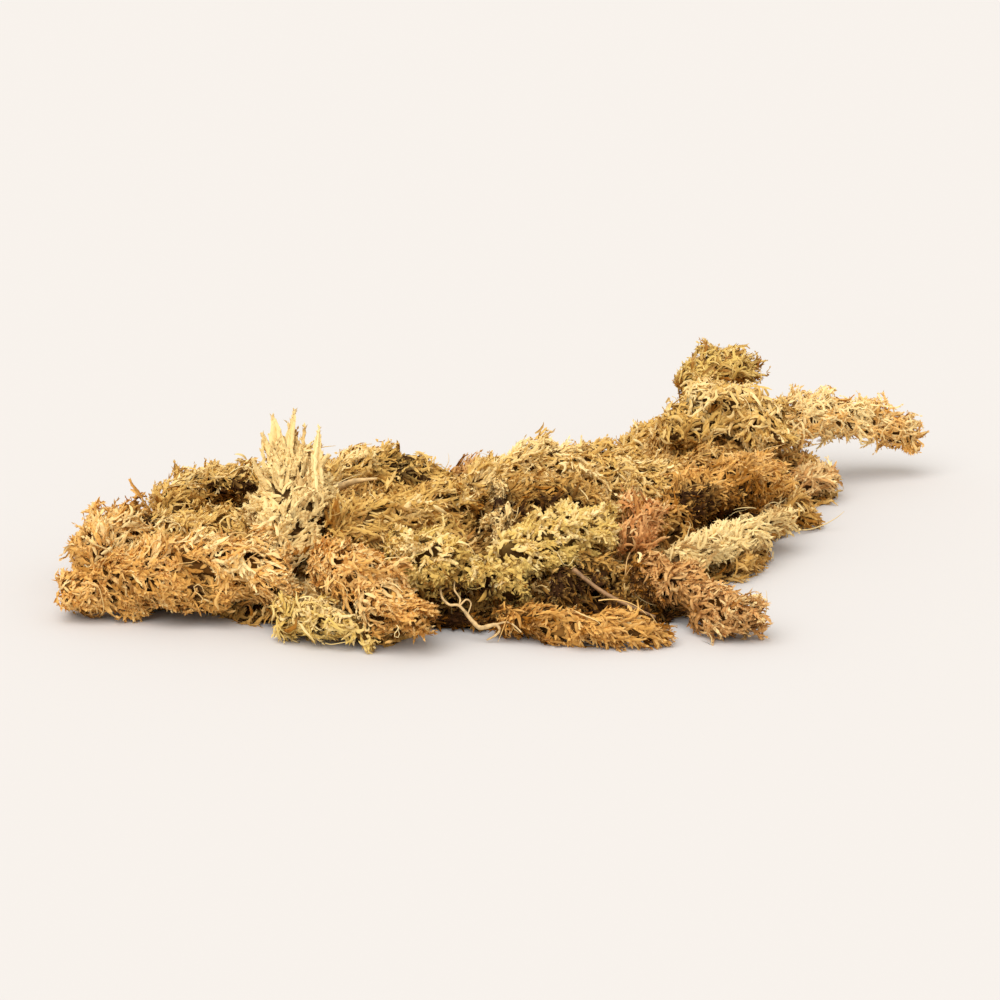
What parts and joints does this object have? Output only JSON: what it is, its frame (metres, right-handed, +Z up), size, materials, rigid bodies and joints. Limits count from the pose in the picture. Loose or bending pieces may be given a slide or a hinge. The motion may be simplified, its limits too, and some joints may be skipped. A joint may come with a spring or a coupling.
{
  "type": "dried sphagnum moss clump",
  "caption": "Loose clump of dried long-fibre sphagnum moss: a mat with ropes, tufts and sprigs of leafy moss and bare stems.",
  "frame": {"origin": "middle of the clump's footprint, on the surface that it rests on", "axes": "+X along the clump's length, towards its long sprig; -Y towards its front, the side that the picture shows; +Z up"},
  "size_m": [0.1756, 0.127, 0.0311],
  "materials": {
    "mat": "matted dry moss, dull, brown in its gaps",
    "orange": "dry orange-gold moss leaves, dull",
    "gold": "dry golden-tan moss leaves, dull",
    "straw": "dry pale straw moss leaves, dull",
    "green": "dry yellow-green moss leaves, dull",
    "brown": "dry red-brown moss leaves, dull",
    "rust": "dry orange-red moss leaves, dull",
    "stem": "bare straw-coloured stem, satin",
    "twig": "thin dark twig, dull"
  },
  "bodies": {
    "root": {"matted_moss": "mat", "front_left_rope": "orange", "left_tuft": "orange", "front_rope": "orange", "right_rope": "orange", "long_sprig": "orange", "hump_rope": "gold", "centre_rope": "gold", "heart_rope": "gold", "ridge_rope": "gold", "curled_rope": "gold", "left_middle_rope": "gold", "floor_strand": "gold", "back_left_rope": "gold", "back_right_rope": "gold", "pale_tuft": "straw", "pale_sprig": "straw", "pale_strand": "straw", "green_tuft": "green", "leafy_tuft": "green", "green_knot": "green", "front_tuft": "green", "top_tuft": "green", "brown_sprig": "brown", "short_sprig": "brown", "back_middle_rope": "brown", "red_tuft": "rust", "bare_stem": "stem", "root_fibre": "stem", "dark_twig": "twig"}
  },
  "joints": []
}
